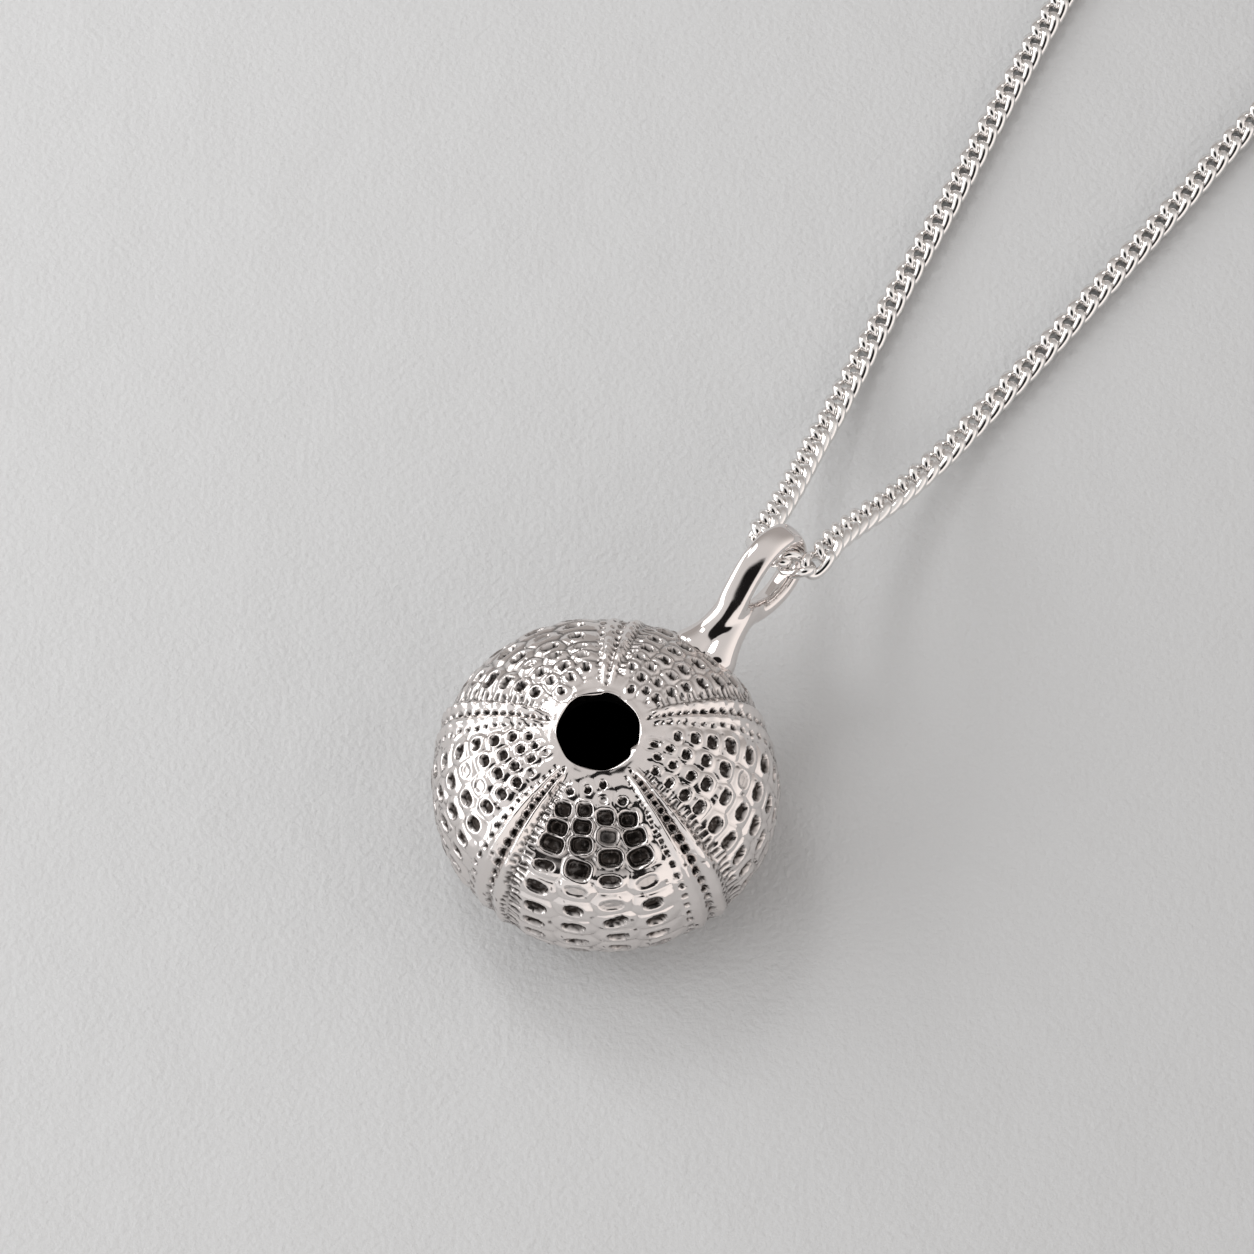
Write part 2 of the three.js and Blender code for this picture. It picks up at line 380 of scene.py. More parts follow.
def curb_chain(material):
    """The whole chain as one mesh of links, and the path that they follow."""
    path = chain_path()
    count = int(along(path)[-1] / LINK_PITCH)
    places = (np.arange(count) + 0.5) * LINK_PITCH
    middle = resampled(path, places)
    forward = unit(resampled(path, places + LINK_PITCH / 2) - resampled(path, places - LINK_PITCH / 2))
    left = unit(np.cross((0, 0, 1), forward))
    up = np.cross(forward, left)
    roll = np.radians(rng.normal(0, LINK_ROLL, count))[:, None]
    left, up = np.cos(roll) * left + np.sin(roll) * up, np.cos(roll) * up - np.sin(roll) * left
    axes = np.stack([forward, left, up], axis=1)
    vertices = middle[:, None] + link_surface() @ axes
    vertices[..., 2] = np.maximum(vertices[..., 2], 0)  # no link reaches into the floor
    faces = []
    per_link = LINK_STEPS * LINK_SIDES
    for link in range(count):
        faces += grid_faces(LINK_STEPS, LINK_SIDES, closed_rows=True, first=link * per_link)
    chain = mesh_piece("curb_chain", vertices.reshape(-1, 3), faces, material)
    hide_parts("chain_run", "chain_coil")
    return chain, path


# ---- Clasp ----

DOME_STEPS = 5
DOME_TIP = 0.15  # radians from a dome's tip to its smallest ring
DOME_FLATNESS = 0.7
ACROSS_HINT = (0.3, 0.1, 1.0)  # not along the start of any tube here


def tube(path, radii, sides=16):
    """The vertices and faces of a round tube with domed ends, along points with a radius at each."""
    path = np.asarray(path, float)
    radii = np.broadcast_to(np.asarray(radii, float), len(path))
    direction = unit(np.gradient(path, axis=0))
    across = np.cross(direction[0], ACROSS_HINT)
    turn = np.linspace(0, 2 * np.pi, sides, endpoint=False)
    rings = []
    for index, (point, heading, radius) in enumerate(zip(path, direction, radii)):
        across = unit(across - heading * np.dot(across, heading))
        beside = np.cross(heading, across)
        circle = np.cos(turn)[:, None] * across + np.sin(turn)[:, None] * beside
        dome = [(0.0, 1.0)]
        if index == 0:
            dome = [(-math.cos(a), math.sin(a)) for a in np.linspace(DOME_TIP, np.pi / 2, DOME_STEPS)]
        if index == len(path) - 1:
            dome = [(math.cos(a), math.sin(a)) for a in np.linspace(np.pi / 2, DOME_TIP, DOME_STEPS)]
        for rise, share in dome:
            rings.append(point + heading * radius * rise * DOME_FLATNESS + circle * radius * share)
    vertices = np.concatenate(rings)
    faces = grid_faces(len(rings), sides)
    last = len(vertices) - sides
    faces.append(tuple(reversed(range(sides))))
    faces.append(tuple(range(last, last + sides)))
    return vertices, faces


def hoop(centre, radius, wire, sides=16, steps=40):
    """The vertices and faces of a flat round ring of wire."""
    vertices = []
    for angle in np.linspace(0, 360, steps, endpoint=False):
        for side in np.linspace(0, 360, sides, endpoint=False):
            out, rise = turned(side, wire / 2)
            x, y = turned(angle, radius + out)
            vertices.append((centre[0] + x, centre[1] + y, centre[2] + rise))
    return np.array(vertices), grid_faces(steps, sides, closed_rows=True)


def joined(*parts):
    """One list of vertices and one of faces from several."""
    vertices, faces, count = [], [], 0
    for points, quads in parts:
        vertices.append(points)
        faces += [tuple(count + corner for corner in face) for face in quads]
        count += len(points)
    return np.concatenate(vertices), faces


CLASP_WIRE = 0.9
THIN_WIRE = 0.8  # the share of that wire's width that the hook's tip and its eye have
HOOK_EYE_PLACE = (3.1, -1.6)  # from the coil's centre, as the next place is
EYE_PLACE = (-0.9, 2.3)
HOOK_EYE_RADIUS = 0.95
HOOK_LENGTH = 3.9
HOOK_BEND_RADIUS = 1.1
HOOK_TIP_FLARE = 0.35
HOOK_TURN = 8
EYE_RADIUS = 1.45


def clasp_hook(material):
    """A hook of wire, with a small eye at the end that holds the chain."""
    side = -2 * HOOK_BEND_RADIUS
    bend = []
    for angle in np.linspace(0, 180, 9):
        x, y = turned(angle, HOOK_BEND_RADIUS)
        bend.append((x - HOOK_BEND_RADIUS, HOOK_LENGTH + y, 0))
    line = [(0, HOOK_EYE_RADIUS, 0), (0, HOOK_LENGTH * 0.6, 0)] + bend
    line += [(side, HOOK_LENGTH * 0.62, 0), (side - HOOK_TIP_FLARE, HOOK_LENGTH * 0.42, 0)]
    wire = catmull(line, 5)
    radii = CLASP_WIRE / 2 * np.linspace(1.0, THIN_WIRE, len(wire))
    vertices, faces = joined(tube(wire, radii), hoop((0, 0, 0), HOOK_EYE_RADIUS, CLASP_WIRE * THIN_WIRE))
    cosine, sine = turned(-HOOK_TURN)
    vertices = vertices @ np.array([(cosine, sine, 0), (-sine, cosine, 0), (0, 0, 1)])
    vertices += from_coil_centre([(*HOOK_EYE_PLACE, CLASP_WIRE / 2)])[0]
    hook = mesh_piece("clasp_hook_wire", vertices, faces, material)
    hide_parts("clasp_hook")
    return hook


def clasp_eye(material):
    """The plain ring that the hook goes into."""
    centre = from_coil_centre([(*EYE_PLACE, CLASP_WIRE / 2)])[0]
    eye = mesh_piece("clasp_eye_ring", *hoop(centre, EYE_RADIUS, CLASP_WIRE), material)
    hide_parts("clasp_eye")
    return eye


# The chain wears the lighter copy of the silver, as painted light
chain_silver = polished_silver("chain_silver", LIGHTER_PAINTED_SILVER)
chain, chain_line = curb_chain(chain_silver)
hook = clasp_hook(chain_silver)
eye = clasp_eye(chain_silver)


# ---- Bail ----

BAIL_AZIMUTH = 52
BAIL_LEAN = 14  # how far its plane is rolled about the way out
LOOP_HEIGHT = 10.3  # of the middle of the loop

# Points round the loop's middle line: distance out from the shell's axis, and up from the loop's middle
LOOP_CENTRELINE = [
    (13.9, 0), (14.3, 0.85), (15.6, 1.65), (17.3, 2.3), (19.2, 2.4), (20.95, 1.55),
    (21.55, 0), (20.95, -1.55), (19.2, -2.4), (17.3, -2.3), (15.6, -1.65), (14.3, -0.85),
]
STRAP_THICKNESS = 1.15
STRAP_WIDTH = 2.1
STRAP_ROLL = 18  # how far the strap turns its back to the right
STRAP_SIDES = 40
BACK_POWER = 0.85  # how round the strap's outer face is: 1 is round, and less is squarer
INNER_POWER = 0.5
EDGE_POWER = 0.75

# The two feet that the loop stands on: distance out, aside, up and radius
LEFT_FOOT = [
    (17.4, 0.0, 2.1, 0.45), (16.2, -0.05, 1.6, 0.75), (15.2, -0.1, 0.95, 1.0), (14.2, -0.15, 0.35, 1.15),
    (13.2, -0.35, -0.2, 1.25), (12.2, -0.6, -0.65, 1.45), (11.0, -0.9, -1.0, 1.9),
]
RIGHT_FOOT = [
    (17.4, 0.1, -2.1, 0.45), (16.2, 0.2, -1.5, 0.7), (15.2, 0.3, -0.85, 0.9), (14.2, 0.35, -0.5, 1.05),
    (13.2, 0.4, -0.65, 1.15), (12.2, 0.55, -0.9, 1.25), (11.0, 0.8, -1.2, 1.45),
]
FOOT_SIDES = 28
BAIL_VOXEL = 0.07
BAIL_SMOOTHING = 60  # rounds, at half strength


def in_bail_plane(points):
    """Points given as out, aside and up in the bail's own plane, in the pendant's frame."""
    out = np.array([*turned(BAIL_AZIMUTH), 0])
    side = np.array([*turned(BAIL_AZIMUTH - 90), 0])
    cosine, sine = turned(BAIL_LEAN)
    up = np.array([0, 0, cosine]) - sine * side
    aside = cosine * side + np.array([0, 0, sine])
    axes = np.stack([out, aside, up])
    return np.asarray(points) @ axes + (0, 0, LOOP_HEIGHT)


def strap():
    """The loop: a D-shaped section, flat inside and rounded outside, round the centreline."""
    line = [(u, 0, w) for u, w in LOOP_CENTRELINE]
    middle = catmull(line, 10, closed=True)
    heading = unit(np.roll(middle, -1, axis=0) - np.roll(middle, 1, axis=0))
    outward = np.cross(heading, (0, 1, 0))
    outward *= np.sign((outward * (middle - middle.mean(axis=0))).sum(axis=1).mean())
    turn = np.linspace(0, 2 * np.pi, STRAP_SIDES, endpoint=False)
    power = np.where(np.sin(turn) > 0, BACK_POWER, INNER_POWER)
    rise = np.sign(np.sin(turn)) * np.abs(np.sin(turn)) ** power
    width = np.sign(np.cos(turn)) * np.abs(np.cos(turn)) ** EDGE_POWER
    cosine, sine = turned(STRAP_ROLL)
    section_out = STRAP_THICKNESS / 2 * rise * cosine - STRAP_WIDTH / 2 * width * sine
    section_side = STRAP_THICKNESS / 2 * rise * sine + STRAP_WIDTH / 2 * width * cosine
    rings = (
        middle[:, None] + outward[:, None] * section_out[None, :, None]
        + np.array((0, 1, 0)) * section_side[None, :, None]
    )
    return rings.reshape(-1, 3), grid_faces(len(middle), STRAP_SIDES, closed_rows=True)


def foot(profile):
    """A foot of the loop, swept along its points with the radius at each."""
    line = catmull(profile, 8)
    return tube(line[:, :3], line[:, 3], sides=FOOT_SIDES)


def bail(material):
    """The loop and its two feet, melted together as one casting."""
    vertices, faces = joined(strap(), foot(LEFT_FOOT), foot(RIGHT_FOOT))
    piece = mesh_piece("bail_casting", in_bail_plane(vertices), faces, material)
    remesh = piece.modifiers.new("remesh", "REMESH")
    remesh.mode = "VOXEL"
    remesh.voxel_size = BAIL_VOXEL * MM
    remesh.use_smooth_shade = True
    smooth = piece.modifiers.new("smooth", "SMOOTH")
    smooth.iterations = BAIL_SMOOTHING
    smooth.factor = 0.5
    depsgraph = bpy.context.evaluated_depsgraph_get()
    piece.data = bpy.data.meshes.new_from_object(piece.evaluated_get(depsgraph))
    piece.modifiers.clear()
    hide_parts("bail")


bail(polished_silver("bail_silver", SILVER))


# ---- Urchin shell ----

SHELL_RADIUS = 12
WIDEST_HEIGHT = 5.6
DOME_RISE = 8.9  # from the widest ring, of the dome if it had no opening
DOME_FULLNESS = 2.5  # 2 is round, and more is squarer
BELLY_DROP = 6  # from the widest ring, of the belly if it had no flat spot
OPENING_RADIUS = 2.93
CROWN_SHIFT = -0.49  # along X, of the dome's top
SHELL_WALL = 1.1
SHELL_COLUMNS = 640
FINE_STEP = 0.12  # between the rings that are seen well
COARSE_STEP = 0.26  # between those under the belly
COARSE_HEIGHT = 0.75 * WIDEST_HEIGHT  # rings lower than this are the coarse ones, with half the columns
COARSE_RADIUS = 6.2  # rings of the crown with less than this radius have half the columns
CROWN_REACH = 6  # how far down from the opening the crown goes

# The five double rows of tube-foot pores run down these azimuths
PORE_BANDS = (16.5, 82.0, 164.5, 227.8, 306.5)
PORE_BAND_HALF_ANGLE = 11.5


def profile_arc(rise, end_radius, fullness=2, steps=400):
    """Points on the shell's profile, from the widest ring up or down to a radius: radius and height."""
    angle = np.linspace(0, math.acos((end_radius / SHELL_RADIUS) ** (fullness / 2)), steps)
    radius = SHELL_RADIUS * np.cos(angle) ** (2 / fullness)
    return np.stack([radius, WIDEST_HEIGHT + rise * np.sin(angle) ** (2 / fullness)], axis=1)


def shell_rings():
    """Rings from the opening down to the flat spot: each one's distance, radius, height and columns."""
    base_radius = SHELL_RADIUS * math.sqrt(1 - (WIDEST_HEIGHT / BELLY_DROP) ** 2)
    profile = np.concatenate([
        profile_arc(DOME_RISE, OPENING_RADIUS, DOME_FULLNESS)[::-1],
        profile_arc(-BELLY_DROP, base_radius)[1:],
    ])
    distance = along(profile)
    places = [0.0]
    while places[-1] < distance[-1] - FINE_STEP:
        height = np.interp(places[-1], distance, profile[:, 1])
        places.append(places[-1] + (FINE_STEP if height > COARSE_HEIGHT else COARSE_STEP))
    places[-1] = distance[-1]
    radius, height = (np.interp(places, distance, profile[:, axis]) for axis in (0, 1))
    places = np.array(places)
    coarse = ((radius < COARSE_RADIUS) & (places < CROWN_REACH)) | (height < COARSE_HEIGHT)
    return places, radius, height, np.where(coarse, SHELL_COLUMNS // 2, SHELL_COLUMNS)


NO_PLATE = 9.0  # farther than any plate's reach, as a multiple of its half width
PIT_FLOOR, PIT_TOP = 0.72, 1.08  # where a pit's wall starts and ends, as shares of its half width
DARK_FULL, DARK_NONE = 0.86, 1.06  # where its tarnish is full and ends
RIM_PLACE, RIM_WIDTH = 1.16, 0.16
RIM_MARK = 8  # a rim's mark for each millimetre of its height


class Relief:
    """Height in millimetres, and tarnish with painted shade from 0 to 1, over the shell's surface."""

    def __init__(self, azimuth, distance, radius):
        self.azimuth = azimuth
        self.distance = distance  # down the meridian from the opening
        self.radius = radius
        self.height = np.zeros(len(azimuth))
        self.tarnish_and_shade = np.zeros(len(azimuth))
        self.rim = np.zeros(len(azimuth))  # marks the rims of pits, which stay bright
        self.nearest = np.full(len(azimuth), NO_PLATE)
        self.second = np.full(len(azimuth), NO_PLATE)

    def darken(self, tarnish_and_shade):
        self.tarnish_and_shade = np.maximum(self.tarnish_and_shade, tarnish_and_shade)

    def window(self, azimuth, distance, reach):
        """The points within reach of a place, and how far each is from it aside and down."""
        low, high = np.searchsorted(self.distance, (distance - reach, distance + reach))
        aside = np.radians(turn_from(azimuth, self.azimuth[low:high])) * self.radius[low:high]
        near = np.abs(aside) < reach
        index = np.arange(low, high)[near]
        return index, aside[near], self.distance[index] - distance

    def plate(self, azimuth, distance, half_width, half_height):
        """Takes a plate's centre into account in nearest and second, for the seams between plates."""
        index, aside, down = self.window(azimuth, distance, 2.2 * max(half_width, half_height))
        away = np.hypot(aside / half_width, down / half_height)
        closer = away < self.nearest[index]
        self.second[index] = np.where(closer, self.nearest[index], np.minimum(self.second[index], away))
        self.nearest[index] = np.minimum(self.nearest[index], away)

    def pit(
        self, azimuth, distance, half_width, half_height, depth, rim=0.0, dark=1.0, tilt=0.0, power=2.6,
    ):
        """A rounded pit with steep sides, and perhaps a raised rim."""
        index, aside, down = self.window(azimuth, distance, 1.8 * max(half_width, half_height))
        cosine, sine = turned(tilt)
        aside, down = cosine * aside + sine * down, cosine * down - sine * aside
        edge = (np.abs(aside / half_width) ** power + np.abs(down / half_height) ** power) ** (1 / power)
        inside = 1 - smoothstep(PIT_FLOOR, PIT_TOP, edge)
        on_rim = bell(edge - RIM_PLACE, RIM_WIDTH)
        darkness = dark * (1 - smoothstep(DARK_FULL, DARK_NONE, edge))
        self.height[index] += rim * on_rim - depth * inside
        self.rim[index] = np.maximum(self.rim[index], RIM_MARK * rim * on_rim)
        self.tarnish_and_shade[index] = np.maximum(self.tarnish_and_shade[index], darkness)


def between_bands(band):
    """The middle azimuth and half angle of the plates between a pore band and the next."""
    start = PORE_BANDS[band]
    end = PORE_BANDS[(band + 1) % len(PORE_BANDS)]
    span = (end - start) % 360
    return start + span / 2, span / 2 - PORE_BAND_HALF_ANGLE


SUNKEN_BAND = 3  # the plates after this band, at the front, are sunken in the middle of the dome
SUNKEN_REACH = (2.6, 7.0)  # distances between which their pits are wide cells
SUNKEN_DEPTH = 0.35
SUNKEN_START = (2.4, 3.6)  # distances over which the plates go down
SUNKEN_STOP = (6.6, 7.6)  # distances over which they come up again
SUNKEN_EDGE = (0.75, 1.05)  # shares of their half angle over which they come up at the sides
CELL_HALF_WIDTH = 0.80  # of a plate's half width
CELL_HALF_HEIGHT = 0.40  # of the step from plate to plate
PIT_COLUMNS = (-0.75, -0.25, 0.25, 0.75)
FIRST_PLATE = 0.95  # distance from the opening
PLATE_STAGGER = 0.55  # of every other column
OUTER_DELAY = 0.9  # how much farther down the two outer columns start
PLATE_STEP = 1.15  # from plate to plate at the opening
PLATE_STEP_GROWTH = 0.5
PLATE_GROWTH = (1.0, 7.0)  # distances over which the step grows
LAST_PLATE = 1  # distance from the flat spot's edge where the plates and pores end
SHALLOW_SHARE = 0.11  # of the pits
PIT_DEPTH = 0.42
SHALLOW_DEPTH = 0.16
PIT_HALF_WIDTH, WIDTH_GROWTH = 0.27, 0.56
PIT_HALF_HEIGHT, HEIGHT_GROWTH = 0.27, 0.15
PIT_GROWTH = (0.5, 9.0)  # distances over which the pits grow
WIDEST_PIT = 0.66  # of a plate's half width


def sunken_share(relief):
    """How far each point is sunken, from 0 to 1."""
    middle, half_angle = between_bands(SUNKEN_BAND)
    turn = turn_from(middle, relief.azimuth)
    aside = 1 - smoothstep(*SUNKEN_EDGE, np.abs(turn) / half_angle)
    down = smoothstep(*SUNKEN_START, relief.distance)
    return aside * down * (1 - smoothstep(*SUNKEN_STOP, relief.distance))


def carve_plates(relief, length):
    """The columns of pitted plates between the pore bands."""
    for band in range(len(PORE_BANDS)):
        middle, half_angle = between_bands(band)
        for column, place in enumerate(PIT_COLUMNS):
            outer = abs(place) > 0.5
            distance = FIRST_PLATE + PLATE_STAGGER * (column % 2) + (OUTER_DELAY if outer else 0)
            while distance < length - LAST_PLATE:
                step = PLATE_STEP + PLATE_STEP_GROWTH * float(smoothstep(*PLATE_GROWTH, distance))
                radius = float(np.interp(distance, relief.distance, relief.radius))
                plate_half_width = math.radians(half_angle) * radius / len(PIT_COLUMNS)
                place_angle = middle + half_angle * place + rng.normal(0, 0.35)
                centre = distance + rng.normal(0, 0.06)
                relief.plate(place_angle, centre, plate_half_width, step / 2)
                growth = float(smoothstep(*PIT_GROWTH, distance))
                half_width = (PIT_HALF_WIDTH + WIDTH_GROWTH * growth) * rng.uniform(0.85, 1.12)
                half_width = min(half_width, WIDEST_PIT * plate_half_width)
                half_height = (PIT_HALF_HEIGHT + HEIGHT_GROWTH * growth) * rng.uniform(0.88, 1.12)
                shallow = rng.random() < SHALLOW_SHARE
                cell = band == SUNKEN_BAND and SUNKEN_REACH[0] < distance < SUNKEN_REACH[1]
                if cell:
                    half_width = CELL_HALF_WIDTH * plate_half_width
                    half_height = CELL_HALF_HEIGHT * step
                relief.pit(
                    place_angle, centre, half_width, half_height,
                    depth=SHALLOW_DEPTH if shallow else PIT_DEPTH,
                    rim=0.09 if cell else 0.012,
                    dark=0.35 if shallow else 1.0,
                    tilt=rng.normal(0, 7), power=3.0 if cell else 2.4,
                )
                distance += step


PLATE_BULGE = 0.13
BULGE_AT_MOUTH = 0.35  # the share of the bulge that is left near the opening
SEAM_DEPTH = 0.045
PAINTED_SHADE_AZIMUTH = 95  # of the far side, whose plates get painted shade round their seams
PAINTED_SHADE_SPREAD = 60


def carve_seams(relief):
    """Bulges the plates, cuts the fine seams between them, and sinks the sunken ones."""
    on_plates = relief.nearest < 1.6
    off_seam = relief.second - relief.nearest
    seam = bell(off_seam, 0.13)
    bulge = PLATE_BULGE * (1 - np.minimum(relief.nearest, 1.25) ** 2)
    bulge *= BULGE_AT_MOUTH + (1 - BULGE_AT_MOUTH) * smoothstep(1.5, 4.5, relief.distance)
    relief.height += np.where(on_plates, bulge - SEAM_DEPTH * seam, 0)
    # Painted shade: the plates on the far side are darkened round their seams, on top of the faint
    # tarnish in every seam
    painted_shade_side = bell(turn_from(PAINTED_SHADE_AZIMUTH, relief.azimuth), PAINTED_SHADE_SPREAD)
    relief.darken(np.where(on_plates, 0.12 * seam + 0.7 * painted_shade_side * bell(off_seam, 0.24), 0))
    sunken = sunken_share(relief)
    relief.height -= SUNKEN_DEPTH * sunken
    relief.darken(0.8 * sunken * (1 - np.minimum(relief.rim, 1)))


# Places across a pore band, as shares of its half angle, positive on the side of its higher ridge
HIGH_RIDGE = 0.42
LOW_RIDGE = -0.30
MIDDLE_GROOVE = 0.06
SIDE_GROOVE = 0.72
LOW_PORES = -0.62
INNER_TICKS = 0.62
OUTER_TICKS = 0.92

REVERSED_BANDS = (1, 2)  # with the higher ridge on the clockwise side
KNOBBY_BANDS = (0, 1, 2)
FINE_BANDS = (0, 1)


def raise_ridges(relief, number, azimuth, side):
    """The two ridges of a pore band, with a groove between them and one beside them."""
    across = turn_from(azimuth, relief.azimuth) / PORE_BAND_HALF_ANGLE
    strength = smoothstep(0.4, 2.0, relief.distance) * (1 - 0.4 * smoothstep(8, 12, relief.distance))
    knobby = number in KNOBBY_BANDS
    knobbiness = 0.22 if knobby else 0.04
    knobs = 1 - knobbiness + knobbiness * np.sin(relief.distance * 6.2 + 2 * number)
    size = 0.24 if number in FINE_BANDS else 0.36
    relief.height += strength * size * knobs * bell(across - HIGH_RIDGE * side, 0.15)
    relief.height += strength * 0.7 * size * knobs * bell(across - LOW_RIDGE * side, 0.13)
    relief.height -= strength * (0.12 if knobby else 0.24) * bell(across - MIDDLE_GROOVE * side, 0.12)
    if not knobby:
        relief.darken(0.65 * strength * bell(across - MIDDLE_GROOVE * side, 0.07))
    groove = strength * bell(across - SIDE_GROOVE * side, 0.05)
    relief.height -= 0.10 * groove
    relief.darken(0.5 * groove)


def carve_pores(relief, azimuth, side, length):
    """A band's two rows of pores: the larger ones in its middle groove, the others past its low ridge."""
    distance = 0.7
    while distance < length - LAST_PLATE:
        growth = float(smoothstep(0.5, 8.0, distance))
        step = 0.50 + 0.42 * growth
        size = 0.12 + 0.15 * growth
        jitter = rng.normal(0, 0.02, 4) * PORE_BAND_HALF_ANGLE  # the last two are spare
        spot = azimuth + PORE_BAND_HALF_ANGLE * MIDDLE_GROOVE * side + jitter[0]
        relief.pit(spot, distance, size * 1.05, size, 0.30, rim=0.05)
        spot = azimuth + PORE_BAND_HALF_ANGLE * LOW_PORES * side + jitter[1]
        relief.pit(spot, distance + step / 2, size * 0.8, size * 0.75, 0.22, rim=0.03)
        distance += step


def carve_ticks(relief, azimuth, side, length):
    """The fine notches along the high side of a band."""
    distance = 1.6
    while distance < length - LAST_PLATE:
        tick = 0.10 + 0.014 * min(distance, 10)
        spot = azimuth + PORE_BAND_HALF_ANGLE * OUTER_TICKS * side
        relief.pit(spot + rng.normal(0, 0.5), distance, 2.2 * tick, 0.6 * tick, 0.13, dark=0.9)
        spot = azimuth + PORE_BAND_HALF_ANGLE * INNER_TICKS * side
        relief.pit(spot + rng.normal(0, 0.4), distance + 0.2, tick * 0.7, tick * 0.7, 0.10, dark=0.8)
        distance += 0.48 + rng.uniform(-0.05, 0.09)


def carve_pore_bands(relief, length):
    """The raised ridges of the pore bands, with their ladders of pores."""
    for number, azimuth in enumerate(PORE_BANDS):
        side = -1 if number in REVERSED_BANDS else 1
        raise_ridges(relief, number, azimuth, side)
        carve_pores(relief, azimuth, side, length)
        carve_ticks(relief, azimuth, side, length)


SPECKS = 700


def scatter_specks(relief, length):
    """Tiny casting pores, strewn over the whole shell."""
    for _ in range(SPECKS):
        azimuth = rng.uniform(0, 360)
        distance = rng.uniform(1.0, length - 3)
        size = rng.uniform(0.06, 0.12)
        relief.pit(azimuth, distance, size, size, 0.07, dark=rng.uniform(0.5, 1.0))


NUB_AZIMUTH = 331  # of a small knob on the opening's edge
NUB_SIZE = 0.33
NUB_SPREAD = 8
KINK_AZIMUTH = 84  # where the edge steps in
KINK_SIZE = 0.16
EDGE_WAVE = 0.05  # of the seven shallow corners round the edge
LIP_HEIGHT = 0.03
LIP_CORNER_HEIGHT = 0.03
LIP_PLACE, LIP_WIDTH = 0.06, 0.2  # distance of its crest from the edge, and how wide it is


def edge_growth(azimuth):
    """How far the opening's edge reaches in at an azimuth."""
    nub = NUB_SIZE * bell(turn_from(NUB_AZIMUTH, azimuth), NUB_SPREAD)
    from_kink = turn_from(KINK_AZIMUTH, azimuth)
    step = KINK_SIZE * smoothstep(-4, 3, from_kink) * (1 - smoothstep(8, 40, from_kink))
    return nub + step + EDGE_WAVE * np.cos(np.radians(7 * azimuth + 25))


def shape_lip(relief):
    """The raised lip of the opening, with nine shallow corners."""
    corners = 0.5 + 0.5 * np.cos(np.radians(relief.azimuth * 9 + 40))
    crest = bell(relief.distance - LIP_PLACE, LIP_WIDTH)
    relief.height += (LIP_HEIGHT + LIP_CORNER_HEIGHT * corners) * crest


WAVE_HEIGHT, WAVES_PER_MM = 0.14, 0.32
RIPPLE_HEIGHT, RIPPLES_PER_MM = 0.035, 1.3
RIPPLE_OFFSET = Vector((9, 4, 2))  # so that the ripples don't follow the waves


def organic_unevenness(relief, positions):
    """Slow waves and small ripples over the whole shell."""
    waves = [noise.noise(Vector(point) * WAVES_PER_MM) for point in positions]
    ripples = [noise.noise(Vector(point) * RIPPLES_PER_MM + RIPPLE_OFFSET) for point in positions]
    relief.height += WAVE_HEIGHT * np.array(waves) + RIPPLE_HEIGHT * np.array(ripples)


MOUTH_STRETCH = 0.09  # how much longer the opening is than wide, away from the viewer
STRETCH_START = WIDEST_HEIGHT + 0.86 * DOME_RISE
STRETCH_FULL = WIDEST_HEIGHT + 0.97 * DOME_RISE

# The rolled edge of the opening, as rings: radius, and height from the lip's
LIP_ROLL = [(2.86, 0.02), (2.84, -0.12), (2.88, -0.35), (2.95, -0.7), (3.1, -1.1)]
BRIGHT_LIP_RINGS = 2
LIP_SHADE_AND_OXIDE = 0.9  # of the other rings, which go down into the opening: blackening and painted shade
BASE_MARGIN = 0.05
BASE_FADE = 1.2  # height over which the relief fades out towards the flat spot


def ring_faces(columns):
    """Faces between rings of points, where a ring may have twice or half the columns of the next."""
    faces = []
    start = 0
    for here, after in zip(columns, columns[1:]):
        following = start + here
        if here == after:
            for column in range(here):
                beside = (column + 1) % here
                faces.append((start + column, following + column, following + beside, start + beside))
        elif after > here:
            for column in range(here):
                beside = (column + 1) % here
                a, b, c = 2 * column, 2 * column + 1, (2 * column + 2) % after
                faces.append((start + column, following + a, following + b))
                faces.append((start + column, following + b, start + beside))
                faces.append((start + beside, following + b, following + c))
        else:
            for column in range(after):
                beside = (column + 1) % after
                a, b, c = 2 * column, 2 * column + 1, (2 * column + 2) % here
                faces.append((following + column, start + b, start + a))
                faces.append((following + column, following + beside, start + b))
                faces.append((following + beside, start + c, start + b))
        start = following
    return faces


def lip_rings(azimuth, direction, top, relief_height):
    """The rings of the opening's rolled edge, from the lowest to the one beside the surface."""
    rings = []
    for radius, drop in reversed(LIP_ROLL):
        reach = radius - edge_growth(azimuth) * math.exp(2 * drop)
        ring = np.column_stack([direction * reach[:, None], np.full(len(azimuth), top + drop)])
        ring[:, 2] += relief_height * math.exp(drop)
        rings.append(ring)
    return rings


def bend_crown(vertices):
    """Stretches the opening away from the viewer, and moves the dome's top aside."""
    near_mouth = smoothstep(STRETCH_START, STRETCH_FULL, vertices[:, 2])
    vertices[:, 1] *= 1 + MOUTH_STRETCH * near_mouth * (vertices[:, 1] > 0)
    vertices[:, 0] += CROWN_SHIFT * np.maximum(0, vertices[:, 2] - WIDEST_HEIGHT) / DOME_RISE


